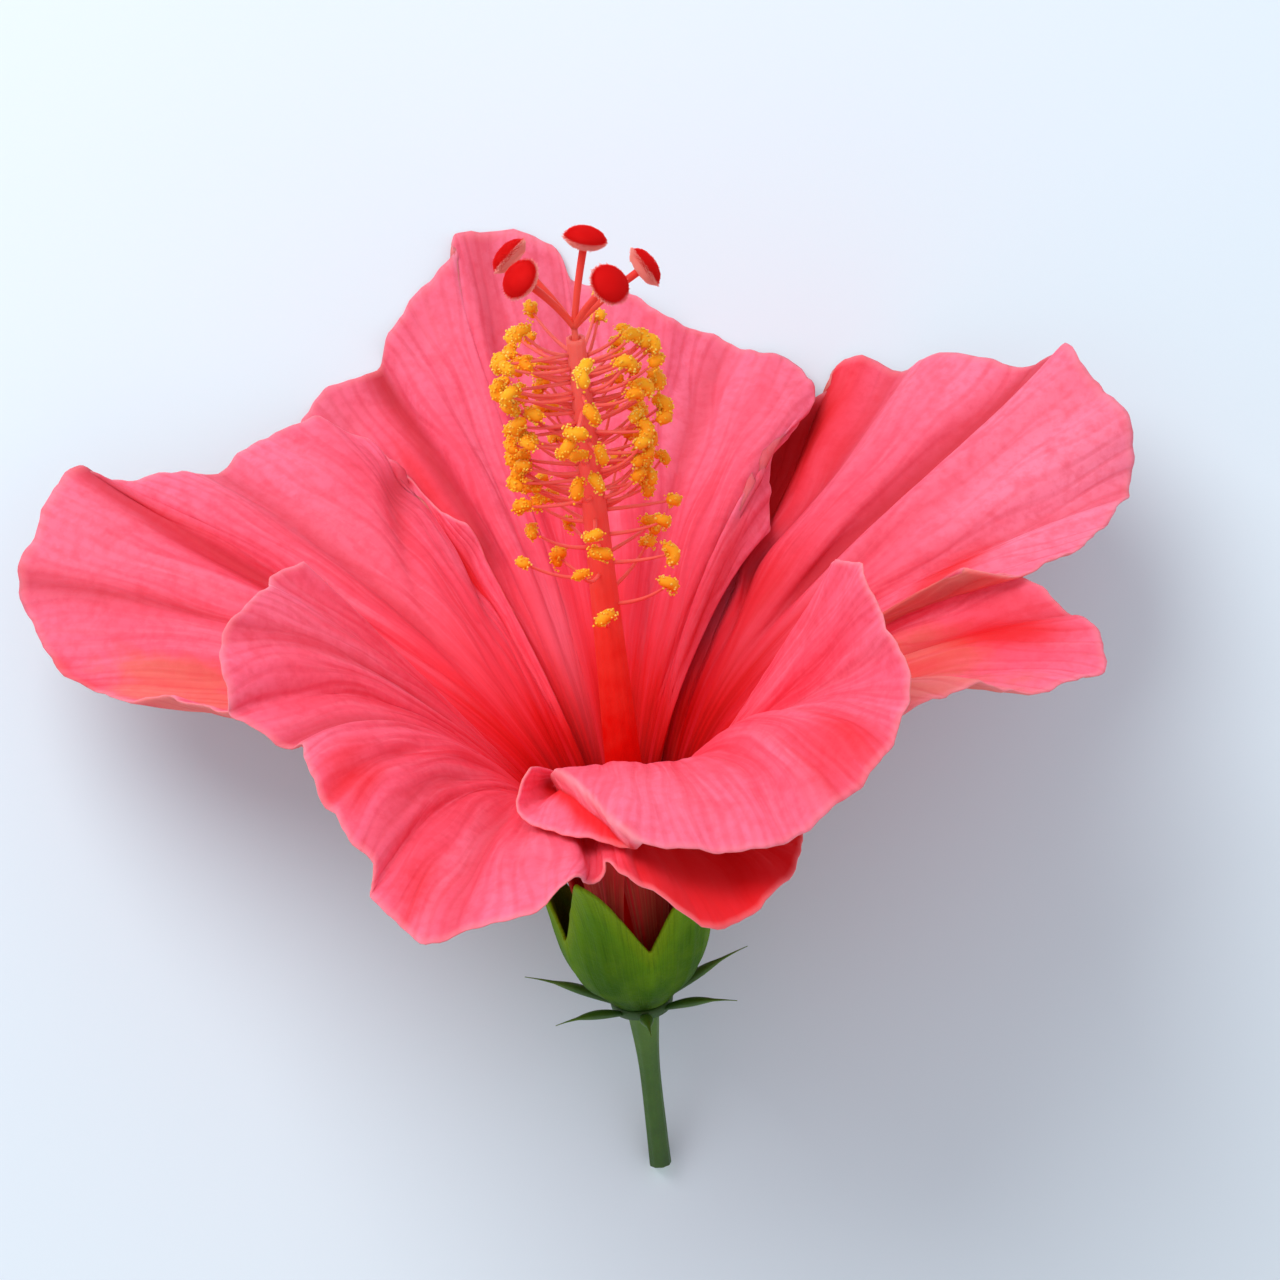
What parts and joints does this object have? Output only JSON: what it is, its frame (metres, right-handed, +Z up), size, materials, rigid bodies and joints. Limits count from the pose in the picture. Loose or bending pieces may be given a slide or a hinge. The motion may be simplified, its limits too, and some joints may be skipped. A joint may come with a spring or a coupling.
{
  "type": "hibiscus flower",
  "caption": "Open hibiscus bloom, as picked: waved overlapping petals, a long staminal column with round stigmas, calyx, bracts and a short cut stalk.",
  "frame": {"origin": "middle of the flower's box, on the surface it lies on", "axes": "+Z up from the surface, +X to the flower's right, +Y the way its back petal points"},
  "size_m": [0.1208, 0.1059, 0.0826],
  "materials": {
    "petal": "thin, soft and slightly translucent, coral pink with a deep red throat",
    "column": "satin red to salmon, with orange anthers",
    "pistil": "velvety deep red",
    "calyx": "satin leaf green",
    "stalk": "satin dark green"
  },
  "bodies": {
    "root": {"petal_back": "petal", "petal_left": "petal", "petal_front_left": "petal", "petal_front_right": "petal", "petal_right": "petal", "staminal_column": "column", "pistil": "pistil", "calyx": "calyx", "epicalyx": "stalk", "pedicel": "stalk"}
  },
  "joints": []
}
